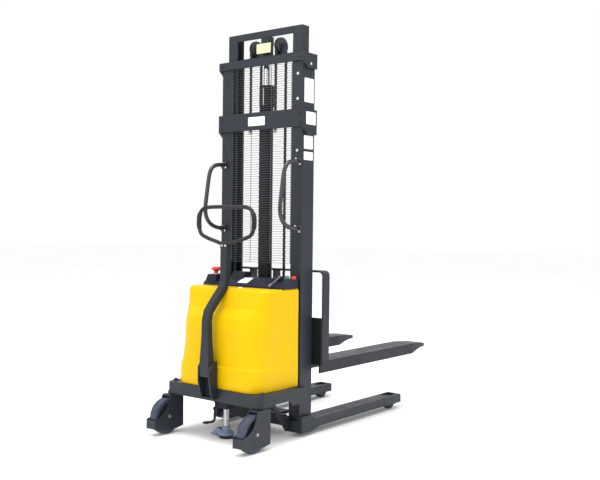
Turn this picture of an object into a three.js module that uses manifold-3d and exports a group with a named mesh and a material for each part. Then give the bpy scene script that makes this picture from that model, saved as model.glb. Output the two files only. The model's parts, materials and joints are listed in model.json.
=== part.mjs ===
// Semi-electric walkie stacker: a two-stage lifting mast on a straddle chassis,
// with a chain-lifted fork carriage, swivel casters, a tiller and a floor lock.
// Millimetres, +Z up, +Y towards the fork tips, +X to the operator's right.
// The origin lies on the floor below the middle of the bounding box.

import * as THREE from "three";
import { mergeVertices } from "three/addons/utils/BufferGeometryUtils.js";
import Module from "manifold-3d";

const wasm = await Module();
wasm.setup();

// ---------------------------------------------------------------- driving dimensions

const GAP = 0.3; // clearance between pieces that touch
const LEFT_AND_RIGHT = [
  ["left", -1],
  ["right", 1],
];

const OUTER = { x0: 205, x1: 275, y0: 34, y1: 134, top: 1934, wall: 12 };
const INNER = { x0: 190, x1: 252, y0: 56, y1: 112, bottom: 222, top: 2080, wall: 9 };
const MAST_Y = 84; // centre plane of both mast stages
const LEG = { x0: 206, x1: 297, y0: 27, y1: 975, top: 81, bottom: 34, rootBottom: 20 };
const LOAD_ROLLER = { x: 248, y: 914, radius: 38, width: 48 };
const CASTER = { x: 294, kingpinY: -275, wheelY: -345, radius: 90, width: 46, plate: 6 };
const CHASSIS = { x: 318, rear: -318, top: 260, bottom: 200, wall: 12, corner: 20 };
const TRAY = { bottom: 206, top: 214 };
const CYLINDER = { y: 81, radius: 35, bore: 28, bottom: 106 + GAP, top: 1795, rodRadius: 18 };
const PULLEY = { x: 85, y: 91, z: 1995, groove: 35, flange: 43 };
const LIFT_BEAM = { bottom: 1930, top: 1949 };
const CHAIN = { width: 14, thick: 9, anchorZ: 1610, carriageZ: 560 };
const CARRIAGE = { x: 331, y0: 137, y1: 149, bottom: 355, top: 594, sideX: 165 };
const FORK = { x0: 196, x1: 332, y1: 1230, heelY: 1045, top: 374, bottom: 315, wall: 6 };
const BACKREST = { x: 332, y0: 149.3, y1: 204, top: 835, wall: 9 };
const COVER = { front: 18, bottom: CHASSIS.top + GAP, top: 750, wall: 4 };
const CONSOLE = { x: 272, rear: -116, front: 14, lip: 757, top: 796, crest: -30 };
const TILLER = { y: -353, pivotZ: 340, loopY: -224 };
const LOCK = { x: 5, y: -212 };

// ---------------------------------------------------------------- materials

function material(color, roughness, metalness) {
  return new THREE.MeshStandardMaterial({ color, roughness, metalness });
}

const FRAME_PAINT = material(0x3f454d, 0.5, 0.3);
const COVER_YELLOW = material(0xf8c400, 0.35, 0);
const BLACK_PLASTIC = material(0x1d1f23, 0.6, 0);
const BLACK_RUBBER = material(0x17181a, 0.85, 0);
const CHROME = material(0xc8ccd0, 0.15, 1);
const STEEL = material(0x8c9096, 0.4, 0.9);
const CHAIN_STEEL = material(0x4a4a4c, 0.5, 0.9);
const CASTER_NYLON = material(0x2c3038, 0.5, 0);
const RED_PLASTIC = material(0xc8281e, 0.4, 0);
const GREEN_PLASTIC = material(0x138a66, 0.4, 0);
const LOCK_PAINT = material(0x5a6b88, 0.45, 0.3);
const BATTERY_CASE = material(0x2a2c30, 0.6, 0);
const MOTOR_PAINT = material(0x30343a, 0.5, 0.4);

// ---------------------------------------------------------------- shape helpers

function box(x0, x1, y0, y1, z0, z1) {
  const shape = new THREE.BoxGeometry(x1 - x0, y1 - y0, z1 - z0);
  return shape.translate((x0 + x1) / 2, (y0 + y1) / 2, (z0 + z1) / 2);
}

function outline(points) {
  return new THREE.Shape(points.map(([u, v]) => new THREE.Vector2(u, v)));
}

// A (y, z) outline extruded along X from x0 to x1.
function extrudeX(shape, x0, x1) {
  const solid = new THREE.ExtrudeGeometry(shape, { depth: x1 - x0, bevelEnabled: false, curveSegments: 6 });
  const basis = new THREE.Matrix4().makeBasis(
    new THREE.Vector3(0, 1, 0),
    new THREE.Vector3(0, 0, 1),
    new THREE.Vector3(1, 0, 0),
  );
  return solid.applyMatrix4(basis).translate(x0, 0, 0);
}

// An (x, z) outline extruded along Y from y0 to y1.
function extrudeY(shape, y0, y1) {
  const solid = new THREE.ExtrudeGeometry(shape, { depth: y1 - y0, bevelEnabled: false, curveSegments: 6 });
  return solid.rotateX(Math.PI / 2).translate(0, y1, 0);
}

// An (x, y) outline extruded along Z from z0 to z1.
function extrudeZ(shape, z0, z1) {
  const solid = new THREE.ExtrudeGeometry(shape, { depth: z1 - z0, bevelEnabled: false, curveSegments: 6 });
  return solid.translate(0, 0, z0);
}

function cylinderX(y, z, radius, x0, x1, segments = 24) {
  const solid = new THREE.CylinderGeometry(radius, radius, x1 - x0, segments);
  return solid.rotateZ(Math.PI / 2).translate((x0 + x1) / 2, y, z);
}

function cylinderZ(x, y, radius, z0, z1, segments = 24, topRadius = radius) {
  const solid = new THREE.CylinderGeometry(topRadius, radius, z1 - z0, segments);
  return solid.rotateX(Math.PI / 2).translate(x, y, (z0 + z1) / 2);
}

// A (radius, height) profile turned about the X axis.
function turnedX(profile, segments = 28) {
  const points = profile.map(([r, h]) => new THREE.Vector2(r, h));
  return new THREE.LatheGeometry(points, segments).rotateZ(-Math.PI / 2);
}

// A round bar along a curve.
function bar(curve, radius, steps, sides = 10) {
  const section = new THREE.Shape().absarc(0, 0, radius, 0, 2 * Math.PI, false);
  return new THREE.ExtrudeGeometry(section, { extrudePath: curve, steps, curveSegments: sides / 2 });
}

// A closed skin through sections of equal point counts, with a flat cap at each end.
function loft(sections) {
  const count = sections[0].length;
  const positions = sections.flat(2);
  const index = [];
  for (let s = 0; s + 1 < sections.length; s++) {
    for (let i = 0; i < count; i++) {
      const a = s * count + i;
      const b = s * count + ((i + 1) % count);
      index.push(a, b, b + count, a, b + count, a + count);
    }
  }
  const last = (sections.length - 1) * count;
  for (let i = 1; i + 1 < count; i++) {
    index.push(0, i + 1, i);
    index.push(last, last + i, last + i + 1);
  }
  const geometry = new THREE.BufferGeometry();
  geometry.setAttribute("position", new THREE.Float32BufferAttribute(positions, 3));
  geometry.setIndex(index);
  return geometry;
}

// ---------------------------------------------------------------- booleans

function toSolid(geometry) {
  const bare = geometry.clone();
  for (const name of Object.keys(bare.attributes)) {
    if (name !== "position") bare.deleteAttribute(name);
  }
  const merged = mergeVertices(bare, 1e-3);
  const mesh = new wasm.Mesh({
    numProp: 3,
    vertProperties: new Float32Array(merged.attributes.position.array),
    triVerts: new Uint32Array(merged.index.array),
  });
  return new wasm.Manifold(mesh);
}

function toGeometry(solid) {
  const mesh = solid.getMesh();
  const geometry = new THREE.BufferGeometry();
  geometry.setAttribute("position", new THREE.BufferAttribute(mesh.vertProperties, 3));
  geometry.setIndex(new THREE.BufferAttribute(mesh.triVerts, 1));
  geometry.computeVertexNormals();
  return geometry;
}

function join(...geometries) {
  return toGeometry(geometries.map(toSolid).reduce((a, b) => a.add(b)));
}

function cut(geometry, ...tools) {
  return toGeometry(tools.map(toSolid).reduce((a, b) => a.subtract(b), toSolid(geometry)));
}

// ---------------------------------------------------------------- scene graph

const REAR_END = CASTER.wheelY - 100;
const stacker = new THREE.Group();
stacker.position.y = -(REAR_END + FORK.y1) / 2;
const chassis = new THREE.Group();
const innerMast = new THREE.Group();
const carriage = new THREE.Group();
const tiller = new THREE.Group();
const running = new THREE.Group();
const controls = new THREE.Group();
const floorLock = new THREE.Group();
stacker.add(chassis, innerMast, carriage, tiller, running, controls, floorLock);

function piece(group, name, geometry, look) {
  const mesh = new THREE.Mesh(geometry, look);
  mesh.name = name;
  group.add(mesh);
  return mesh;
}

// The same right-hand piece on both sides, mirrored in the machine's middle plane.
function pair(group, name, geometry, look) {
  for (const [side, sign] of LEFT_AND_RIGHT) {
    piece(group, `${name}_${side}`, geometry, look).scale.x = sign;
  }
}

// ---------------------------------------------------------------- chassis and outer mast

function chassisRearBeam() {
  const { x, rear, top, bottom, wall, corner } = CHASSIS;
  const deck = outline([
    [-x + corner, rear],
    [x - corner, rear],
    [x, rear + corner * 1.4],
    [x, rear + 96],
    [-x, rear + 96],
    [-x, rear + corner * 1.4],
  ]);
  const inside = outline([
    [-x + corner + 4, rear + wall],
    [x - corner - 4, rear + wall],
    [x - wall, rear + corner * 1.4 + 4],
    [x - wall, rear + 100],
    [-x + wall, rear + 100],
    [-x + wall, rear + corner * 1.4 + 4],
  ]);
  const shell = cut(extrudeZ(deck, bottom, top), extrudeZ(inside, bottom - 1, top - 10));
  const seats = LEFT_AND_RIGHT.map(([, sign]) => {
    const a = sign * 232;
    const b = sign * (x - wall / 2);
    return box(Math.min(a, b), Math.max(a, b), rear + wall / 2, rear + 96, bottom, bottom + 12);
  });
  const caps = LEFT_AND_RIGHT.map(([, sign]) =>
    cylinderZ(sign * CASTER.x, CASTER.kingpinY, 15, top - 1, top + 12, 20, 9),
  );
  const bores = LEFT_AND_RIGHT.flatMap(([, sign]) => [
    cylinderZ(sign * CASTER.x, CASTER.kingpinY, 12.5, bottom - 5, bottom + 20),
    cylinderZ(sign * CASTER.x, CASTER.kingpinY, 19, bottom + 12, top - 12),
  ]);
  const batteryBay = box(-209, 209, rear + wall, rear + 100, bottom - 1, top + 1);
  return cut(join(shell, ...seats, ...caps), ...bores, batteryBay);
}

function chassisSide() {
  const { x, rear, top, wall } = CHASSIS;
  const plate = outline([
    [rear + 96 + GAP, top],
    [rear + 96 + GAP, 206],
    [-95, 206],
    [-72, 180],
    [OUTER.y0 - GAP, 180],
    [OUTER.y0 - GAP, top],
  ]);
  const flange = box(232, x - 1, OUTER.y0 - 12, OUTER.y0 - GAP, 180, top);
  const deck = box(x - 44, x - wall + 1, rear + 96 + GAP, OUTER.y0 - GAP, top - 10, top);
  return join(extrudeX(plate, x - wall, x), flange, deck);
}

function batteryTray() {
  return box(-215, 215, CHASSIS.rear + CHASSIS.wall + GAP, OUTER.y0 - GAP, TRAY.bottom, TRAY.top);
}

function leg() {
  const { x0, x1, y0, y1, top, bottom, rootBottom } = LEG;
  const side = outline([
    [y0, rootBottom],
    [y0 + 85, rootBottom],
    [y0 + 150, bottom],
    [y1, bottom],
    [y1, top],
    [y0, top],
  ]);
  const gusset = outline([
    [y0, top - 1],
    [y0 + 100, top - 1],
    [y0 + 85, 103],
    [y0, 103],
  ]);
  const body = join(extrudeX(side, x0, x1), extrudeX(gusset, OUTER.x1 + GAP, x1));
  const channel = box(x0 + 8, x1 - 8, y0 + 160, 850, 0, top - 8);
  const { x, y, radius, width } = LOAD_ROLLER;
  const slot = box(x - width / 2 - 3, x + width / 2 + 3, y - 44, y + 44, 0, top + 10);
  const axle = cylinderX(y, radius, 9, x0 + 2, x1 - 2, 16);
  return join(cut(body, channel, slot), axle);
}

// An angle between the columns that carries the lift cylinder, braced up to the battery tray.
function lowerCrossMember() {
  const half = OUTER.x0 - GAP;
  const web = box(-half, half, 5, 25, 50, 106);
  const shelf = box(-150, 150, 5, 118, 92, 106);
  const strut = outline([
    [-135, TRAY.bottom - GAP],
    [-110, TRAY.bottom - GAP],
    [25, 40],
    [25, 24],
    [8, 24],
  ]);
  const lugs = LEFT_AND_RIGHT.map(([, sign]) => box(sign * 209 - 8, sign * 209 + 8, 6, 24, 30, 100));
  return join(web, shelf, ...lugs, extrudeX(strut, 204, 216), extrudeX(strut, -216, -204));
}

function outerColumn() {
  const { x0, x1, y0, y1, top, wall } = OUTER;
  const channel = outline([
    [x0, y0],
    [x1, y0],
    [x1, y1],
    [x0, y1],
    [x0, y1 - wall],
    [x1 - wall, y1 - wall],
    [x1 - wall, y0 + wall],
    [x0, y0 + wall],
  ]);
  return extrudeZ(channel, LEG.top + GAP, top);
}

// A front plate across both columns, with a cheek round each column's outer side.
function crossbeam(bottom, top, cheekBottom, cheekTop) {
  const reach = 290;
  const front = box(-reach, reach, 22, OUTER.y0 - GAP, bottom, top);
  const cheek = outline([
    [22, bottom],
    [60, cheekBottom],
    [OUTER.y1, cheekBottom],
    [OUTER.y1, cheekTop],
    [22, cheekTop],
  ]);
  const right = extrudeX(cheek, OUTER.x1 + GAP, reach);
  const left = extrudeX(cheek, -reach, -OUTER.x1 - GAP);
  return join(front, right, left);
}

function middleCrossbeam() {
  const lugs = LEFT_AND_RIGHT.flatMap(([, sign]) => {
    const x = sign * PULLEY.x;
    const lug = box(x - 9, x + 9, 30, 60, CHAIN.anchorZ - 22, CHAIN.anchorZ);
    return [lug, cylinderZ(x, 50, 7, 1543, CHAIN.anchorZ - 10, 12)];
  });
  return join(crossbeam(1561, 1651, 1525, 1651), ...lugs);
}

// A framed panel with two columns of openings behind the outer columns' front flanges.
function meshGuard(bottom, top, rows) {
  const half = OUTER.x0 - 0.7;
  const rim = 5;
  const [y0, y1] = [36, 39];
  const pitch = (top - bottom - rim) / rows;
  const windows = [];
  for (let row = 0; row < rows; row++) {
    const low = bottom + rim + row * pitch;
    windows.push(box(-half + rim, -rim / 2, y0 - 1, y1 + 1, low, low + pitch - rim));
    windows.push(box(rim / 2, half - rim, y0 - 1, y1 + 1, low, low + pitch - rim));
  }
  return cut(box(-half, half, y0, y1, bottom, top), ...windows);
}

// A closed loop for the hand, fixed to the column's operator side at both ends.
function grabHandle() {
  const x = 255;
  const foot = OUTER.y0 - GAP;
  const route = [
    [foot, 1387], [8, 1387], [-28, 1383], [-58, 1370], [-78, 1340], [-88, 1300], [-96, 1250],
    [-104, 1200], [-109, 1160], [-106, 1118], [-88, 1085], [-58, 1063], [-20, 1051], [8, 1048],
    [foot, 1048],
  ];
  const curve = new THREE.CatmullRomCurve3(route.map(([y, z]) => new THREE.Vector3(x, y, z)));
  const tube = bar(curve, 11, 40);
  const plates = [1387, 1048].map((z) => box(x - 20, x + 18, foot - 8, foot, z - 20, z + 20));
  const wall = box(x - 60, x + 60, foot, foot + 60, 900, 1500);
  return cut(join(tube, ...plates), wall);
}

function cylinderBarrel() {
  const { y, radius, bore, bottom, top, rodRadius } = CYLINDER;
  const tube = cylinderZ(0, y, radius, bottom, top - 100);
  const head = cylinderZ(0, y, radius + 5, top - 110, top);
  const foot = box(-45, 45, y - 32, y + 32, bottom, bottom + 16);
  const inside = cylinderZ(0, y, bore, bottom + 20, top - 60);
  const gland = cylinderZ(0, y, rodRadius + 0.8, top - 61, top + 1);
  return cut(join(tube, head, foot), inside, gland);
}

// ---------------------------------------------------------------- cover, console and power unit

// Height, half width, rear depth and corner radius of the cover's plan outline.
const COVER_STATIONS = [
  [COVER.bottom, 276, 304, 82],
  [290, 276, 308, 84],
  [370, 276, 308, 92],
  [450, 275, 308, 112],
  [550, 275, 305, 130],
  [608, 275, 295, 134],
  [655, 275, 254, 88],
  [700, 275, 242, 70],
  [735, 275, 232, 58],
  [COVER.top, 266, 220, 48],
];

function coverSection(z, width, depth, radius, inset) {
  const x = width - inset;
  const y = -(depth - inset);
  const r = Math.max(radius - inset, 5);
  const steps = 7;
  const arc = [];
  for (let i = 0; i <= steps; i++) {
    const angle = (i / steps) * (Math.PI / 2);
    arc.push([x - r + r * Math.cos(angle), y + r - r * Math.sin(angle)]);
  }
  const right = [[x, COVER.front], ...arc];
  const left = right.map(([px, py]) => [-px, py]).reverse();
  return [...left, ...right].reverse().map(([px, py]) => [px, py, z]);
}

function cover() {
  const outer = COVER_STATIONS.map(([z, ...plan]) => coverSection(z, ...plan, 0));
  const inner = COVER_STATIONS.map(([z, ...plan], i) => {
    const drop = i === 0 ? 1 : COVER.wall;
    return coverSection(z - drop, ...plan, COVER.wall);
  });
  const open = box(-246, 246, COVER.front - COVER.wall - 1, COVER.front + 5, 200, COVER.top - 8);
  return cut(loft(outer), loft(inner), open);
}

const LEVER = { x: 207, y: -48, z: 805, pin: 3 };
const STOP = { x: -225, y: -55, z: 804 };
const BUTTON = { y: 0, radius: 12.5 };
const BUTTONS = [
  ["green_button", 214, GREEN_PLASTIC],
  ["red_button", 257, RED_PLASTIC],
];
const LEVER_CHEEK = outline([
  [LEVER.y - 12, 776],
  [LEVER.y + 16, 788],
  [LEVER.y + 7, LEVER.z + 6],
  [LEVER.y - 7, LEVER.z + 6],
]);

// A wedge sloping down to the operator, with a raised seat for the emergency stop and a display box.
function controlConsole() {
  const { x, rear, front, lip, top, crest } = CONSOLE;
  const base = COVER.top + GAP;
  const wells = [
    cylinderZ(STOP.x, STOP.y, 11.7, STOP.z - 14, STOP.z + 5, 20),
    ...BUTTONS.map(([, cx]) => cylinderZ(cx, BUTTON.y, BUTTON.radius + 0.6, top - 9, top + 5, 20)),
  ];
  const wedge = outline([
    [rear, base],
    [front, base],
    [front, top],
    [crest, top],
    [rear, lip],
  ]);
  const stopSeat = outline([
    [-x + 2, lip],
    [-190, lip],
    [-190, STOP.z],
    [-x + 24, STOP.z],
  ]);
  const display = outline([
    [-62, 778],
    [8, 778],
    [2, 822],
    [-36, 822],
  ]);
  const body = join(
    extrudeX(wedge, -x, x),
    extrudeY(stopSeat, -94, -16),
    extrudeX(display, -118, -36),
    extrudeX(LEVER_CHEEK, LEVER.x - 13, LEVER.x - 8.5),
    extrudeX(LEVER_CHEEK, LEVER.x + 8.5, LEVER.x + 13),
    cylinderX(LEVER.y, LEVER.z, LEVER.pin, LEVER.x - 12, LEVER.x + 12, 12),
  );
  const corners = LEFT_AND_RIGHT.map(([, sign]) =>
    extrudeZ(outline([
      [sign * (x - 14), rear - 1],
      [sign * (x + 1), rear - 1],
      [sign * (x + 1), rear + 22],
    ]), base - 1, top + 40),
  );
  return cut(body, ...wells, ...corners);
}

function battery() {
  const x = 200;
  const top = 430;
  const body = box(-x, x, -292, -122, TRAY.top + GAP, top);
  const posts = [-150, 150].map((px) => cylinderZ(px, -250, 9, top - 2, top + 18, 14));
  return join(body, ...posts);
}

function oilTank() {
  const body = box(-195, -15, -108, -18, TRAY.top + GAP, 440);
  return join(body, cylinderZ(-160, -62, 18, 438, 462, 16));
}

// The motor stands on end with the pump's valve block bolted on top.
function pumpMotor() {
  const body = cylinderZ(75, -62, 50, TRAY.top + GAP, 381, 24);
  const block = box(25, 125, -100, -26, 380, 440);
  return join(body, box(20, 130, -106, -20, 340, 366), block, cylinderZ(100, -60, 12, 438, 480, 14));
}

// ---------------------------------------------------------------- inner mast

function innerColumn() {
  const { x0, x1, y0, y1, bottom, top, wall } = INNER;
  const channel = outline([
    [x0, y0],
    [x1, y0],
    [x1, y1],
    [x0, y1],
    [x0, y1 - wall],
    [x1 - wall, y1 - wall],
    [x1 - wall, y0 + wall],
    [x0, y0 + wall],
  ]);
  const stub = cylinderX(MAST_Y, bottom + 42, 8, x1 - 2, OUTER.x1 - OUTER.wall - 1, 12);
  return join(extrudeZ(channel, bottom, top), stub);
}

function innerTopBeam() {
  const { x0, y0, top } = INNER;
  const beam = box(-x0 + GAP, x0 - GAP, y0, y0 + 8, top - 37, top);
  const hanger = box(-27, 27, y0 + 4, 102, top - 76, top - 30);
  return join(beam, hanger);
}

function pulleyBeam() {
  const { bottom, top } = LIFT_BEAM;
  const beam = box(-INNER.x0 + GAP, INNER.x0 - GAP, 68, 114, bottom, top);
  const ears = LEFT_AND_RIGHT.flatMap(([, sign]) =>
    [-20, 15].map((offset) => {
      const x = sign * PULLEY.x + offset;
      return box(x, x + 5, PULLEY.y - 16, PULLEY.y + 16, top - 2, PULLEY.z + 16);
    }),
  );
  const axles = LEFT_AND_RIGHT.map(([, sign]) => {
    const x = sign * PULLEY.x;
    return cylinderX(PULLEY.y, PULLEY.z, 8, x - 23, x + 23, 14);
  });
  const post = box(-25, 25, 72, 100, top - 2, INNER.top - 76 - GAP);
  return join(beam, post, ...ears, ...axles);
}

function pistonRod() {
  const { y, rodRadius } = CYLINDER;
  const rod = cylinderZ(0, y, rodRadius, 500, LIFT_BEAM.bottom - GAP);
  const piston = cylinderZ(0, y, 27, 500, 540);
  return join(rod, piston);
}

function pulley() {
  const { groove, flange } = PULLEY;
  return turnedX([
    [8.6, -12], [flange, -12], [flange, -8], [groove, -7.6], [groove, 7.6], [flange, 8],
    [flange, 12], [8.6, 12], [8.6, -12],
  ], 32);
}

function mastRoller() {
  const radius = 37.6;
  return turnedX([
    [8.5, -4], [radius - 1, -4], [radius, -3], [radius, 3], [radius - 1, 4], [8.5, 4], [8.5, -4],
  ], 32);
}

// ---------------------------------------------------------------- carriage

function carriagePlate() {
  const { x, y0, y1, bottom, top } = CARRIAGE;
  const plate = box(-x, x, y0, y1, bottom, top);
  const lugs = LEFT_AND_RIGHT.map(([, sign]) => {
    const cx = sign * PULLEY.x;
    return box(cx - 9, cx + 9, 122, y0 + 2, CHAIN.carriageZ - 20, CHAIN.carriageZ);
  });
  return join(plate, ...lugs);
}

const CARRIAGE_ROLLERS = { lower: 372, upper: 612 };

function carriageSide() {
  const { y0, sideX } = CARRIAGE;
  const plate = outline([
    [62, 345],
    [y0 - GAP, 355],
    [y0 - GAP, 594],
    [108, 640],
    [62, 640],
  ]);
  const stubs = Object.values(CARRIAGE_ROLLERS).map((z) => cylinderX(MAST_Y, z, 6, sideX + 5, 204, 12));
  return join(extrudeX(plate, sideX, sideX + 10), ...stubs);
}

function carriageRoller() {
  const radius = 18.6;
  return turnedX([
    [0, 15], [0, -9], [6.6, -9], [6.6, -15], [radius - 1, -15], [radius, -14], [radius, 14],
    [radius - 1, 15], [0, 15],
  ], 24);
}

// A box-section arm, open below, with a wedge nose and an upright welded to the carriage plate.
function fork() {
  const { x0, x1, y1, heelY, top, bottom, wall } = FORK;
  const start = CARRIAGE.y1 + GAP;
  const arm = box(x0, x1, start, heelY, bottom, top);
  const hollow = box(x0 + wall, x1 - wall, start + 12, heelY - 8, bottom - 5, top - 8);
  const mouth = box(x0 + wall, x1 - wall, start - 1, start + 13, bottom - 5, CARRIAGE.bottom - 2);
  const upright = box(x0, x1 - 10, start, start + 9, top - 2, 560);
  const lug = box(x1 - 9, x1, 128, start + 3, bottom, CARRIAGE.bottom - GAP);
  const mid = (x0 + x1) / 2;
  const ring = (y, half, low, high) => [
    [mid + half, y, low],
    [mid - half, y, low],
    [mid - half, y, high],
    [mid + half, y, high],
  ];
  const nose = loft([
    ring(heelY - 1, (x1 - x0) / 2, bottom, top),
    ring(heelY + 65, 62, bottom + 17, top - 4),
    ring(heelY + 130, 54, bottom + 25, top - 8),
    ring(y1, 40, top - 38, top - 18),
  ]);
  return join(cut(arm, hollow, mouth), upright, lug, nose);
}

function loadBackrest() {
  const { x, y0, y1, top, wall } = BACKREST;
  const foot = FORK.top + GAP;
  const r = 28;
  const hoop = new THREE.Shape();
  hoop.moveTo(x, foot);
  hoop.lineTo(x, top - r);
  hoop.absarc(x - r, top - r, r, 0, Math.PI / 2, false);
  hoop.lineTo(-x + r, top);
  hoop.absarc(-x + r, top - r, r, Math.PI / 2, Math.PI, false);
  hoop.lineTo(-x, foot);
  hoop.lineTo(-x + wall, foot);
  hoop.lineTo(-x + wall, top - r);
  hoop.absarc(-x + r, top - r, r - wall, Math.PI, Math.PI / 2, true);
  hoop.lineTo(x - r, top - wall);
  hoop.absarc(x - r, top - r, r - wall, Math.PI / 2, 0, true);
  hoop.lineTo(x - wall, foot);
  hoop.closePath();
  const bars = [-164, 0, 164].map((cx) =>
    box(cx - wall / 2, cx + wall / 2, y0, y1, 400, top - wall / 2),
  );
  return join(extrudeY(hoop, y0, y1), ...bars);
}

function chainStrand(y, z0, z1) {
  const { width, thick } = CHAIN;
  const x = PULLEY.x;
  return box(x - width / 2, x + width / 2, y - thick / 2, y + thick / 2, z0 + GAP, z1);
}

// ---------------------------------------------------------------- wheels

// Side plates, top plate, kingpin and the toe guard that wraps the wheel's lower rear.
function casterFork() {
  const { x, kingpinY, wheelY, radius, width, plate } = CASTER;
  const half = width / 2 + 2.5;
  const front = wheelY + radius + 0.6;
  const side = outline([
    [front + 5, 30],
    [front + 5, 196],
    [wheelY + 8, 196],
    [wheelY - 8, 158],
    [wheelY - 26, 122],
    [wheelY - 56, 98],
    [wheelY - 100, 84],
    [wheelY - 100, 36],
    [wheelY - 60, 28],
    [wheelY + 50, 22],
  ]);
  const right = extrudeX(side, x + half, x + half + plate);
  const left = extrudeX(side, x - half - plate, x - half);
  const roof = box(x - half - 2, x + half + 2, wheelY + 10, front + 5, 186, 196);
  const guard = box(x - half - 2, x + half + 2, wheelY - 100, wheelY - 94, 38, 82);
  const race = cylinderZ(x, kingpinY, 30, 195, CHASSIS.bottom - GAP);
  const kingpin = cylinderZ(x, kingpinY, 11, 195, 232, 20);
  const nut = cylinderZ(x, kingpinY, 17, CHASSIS.bottom + 12 + GAP, 230, 6);
  const axle = cylinderX(wheelY, radius, 8, x - half - plate - 4, x + half + plate + 4, 16);
  const web = box(x - half - 2, x + half + 2, front, front + 5, 60, 190);
  return join(right, left, roof, guard, race, kingpin, nut, axle, web);
}

function casterWheel() {
  const { radius, width } = CASTER;
  const h = width / 2;
  return turnedX([
    [8.5, -h], [24, -h], [30, -h + 7], [62, -h + 7], [68, -h], [radius - 6, -h], [radius, -h + 6],
    [radius, h - 6], [radius - 6, h], [68, h], [62, h - 7], [30, h - 7], [24, h], [8.5, h], [8.5, -h],
  ], 40);
}

function loadRoller() {
  const { radius, width } = LOAD_ROLLER;
  const h = width / 2;
  return turnedX([
    [9.6, -h], [20, -h], [24, -h + 4], [radius - 3, -h + 1], [radius, -h + 4], [radius, h - 4],
    [radius - 3, h - 1], [24, h - 4], [20, h], [9.6, h], [9.6, -h],
  ], 32);
}

// ---------------------------------------------------------------- tiller

function tillerBracket() {
  const rear = CHASSIS.rear - GAP;
  const base = box(-40, 40, rear - 7, rear, 214, 396);
  const cheek = outline([
    [rear - 6, 214],
    [rear - 6, 396],
    [rear - 36, 396],
    [rear - 54, 372],
    [rear - 54, 300],
    [rear - 30, 214],
  ]);
  const foot = box(-39, 39, rear - 30, rear - 2, 214, 222);
  const pin = cylinderX(TILLER.y, TILLER.pivotZ, 8, -45, 45, 16);
  return join(base, extrudeX(cheek, 33, 40), extrudeX(cheek, -40, -33), foot, pin);
}

// Section of the arm: half width, half depth, centre (y, z).
const ARM_STATIONS = [
  [27, 16, TILLER.y, TILLER.pivotZ - 16],
  [30, 17, TILLER.y, TILLER.pivotZ],
  [30, 19, -351, 400],
  [21, 17, -351, 520],
  [20, 16, -352, 596],
  [20, 16, -341, 640],
  [20, 16, -292, 696],
  [20, 16, -240, 752],
  [20, 16, -226, 792],
  [20, 16, TILLER.loopY, 945],
];

function tillerArm() {
  const sections = ARM_STATIONS.map(([halfX, halfY, y, z], i, all) => {
    const [, , ya, za] = all[Math.max(i - 1, 0)];
    const [, , yb, zb] = all[Math.min(i + 1, all.length - 1)];
    const length = Math.hypot(yb - ya, zb - za);
    const ny = ((zb - za) / length) * halfY;
    const nz = (-(yb - ya) / length) * halfY;
    return [
      [-halfX, y - ny, z - nz],
      [halfX, y - ny, z - nz],
      [halfX, y + ny, z + nz],
      [-halfX, y + ny, z + nz],
    ];
  });
  const bore = cylinderX(TILLER.y, TILLER.pivotZ, 8.7, -60, 60, 16);
  return cut(loft(sections), bore);
}

// A rounded loop whose bottom runs down in a shallow V to the arm.
function tillerLoop() {
  const y = TILLER.loopY;
  const route = [
    [0, 967], [70, 982], [130, 999], [168, 1016], [183, 1044], [187, 1080], [181, 1118],
    [158, 1144], [110, 1153], [0, 1154],
  ];
  const mirrored = route.slice(1, -1).reverse().map(([x, z]) => [-x, z]);
  const points = [...route, ...mirrored].map(([x, z]) => new THREE.Vector3(x, y, z));
  const curve = new THREE.CatmullRomCurve3(points, true);
  const section = new THREE.Shape().absarc(0, 0, 12, 0, 2 * Math.PI, false);
  const ring = new THREE.ExtrudeGeometry(section, { extrudePath: curve, steps: 72, curveSegments: 5 });
  const seat = box(-24, 24, y - 17, y + 17, 945 + GAP, 978);
  return join(ring, seat);
}

// ---------------------------------------------------------------- controls and floor lock

function emergencyStop() {
  const profile = [
    [0, -5], [11, -5], [11, 12], [14, 18], [24, 22], [26, 29], [22, 36], [0, 39],
  ].map(([r, z]) => new THREE.Vector2(r, z));
  return new THREE.LatheGeometry(profile, 24).rotateX(Math.PI / 2);
}

function pushButton() {
  const profile = [
    [0, -4], [BUTTON.radius, -4], [BUTTON.radius, 11], [BUTTON.radius - 2, 14], [0, 15],
  ].map(([r, z]) => new THREE.Vector2(r, z));
  return new THREE.LatheGeometry(profile, 20).rotateX(Math.PI / 2);
}

function liftLever() {
  const { x, y, z, pin } = LEVER;
  const hub = cylinderX(y, z, 7, x - 8, x + 8, 14);
  const pointAt = (t) => new THREE.Vector3(x, y - 84 * t, z - 41 * t);
  const stem = bar(new THREE.LineCurve3(pointAt(0), pointAt(0.75)), 4, 1);
  const knob = bar(new THREE.LineCurve3(pointAt(0.7), pointAt(1)), 6.5, 1);
  return cut(join(hub, stem, knob), cylinderX(y, z, pin + 0.6, x - 9, x + 9, 12));
}

function lockHousing() {
  const { x, y } = LOCK;
  const body = box(x - 34, x + 30, y - 30, y + 30, 148, TRAY.bottom - GAP);
  const lug = box(x - 50, x - 30, y - 34, y - 6, 108, 176);
  const bore = cylinderZ(x, y, 17, 140, 200);
  return cut(join(body, lug), bore);
}

function lockFoot() {
  const { x, y } = LOCK;
  const ram = cylinderZ(x, y, 16, 40, 150);
  const shoe = cylinderZ(x, y, 40, 14, 52, 6, 20);
  const pad = cylinderZ(x, y, 36, 1, 16, 24);
  const wing = outline([
    [x - 97, 4],
    [x - 60, 10],
    [x - 18, 14],
    [x - 18, 34],
    [x - 36, 44],
    [x - 50, 46],
    [x - 62, 40],
  ]);
  return join(ram, shoe, pad, extrudeY(wing, y - 16, y + 10));
}

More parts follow.
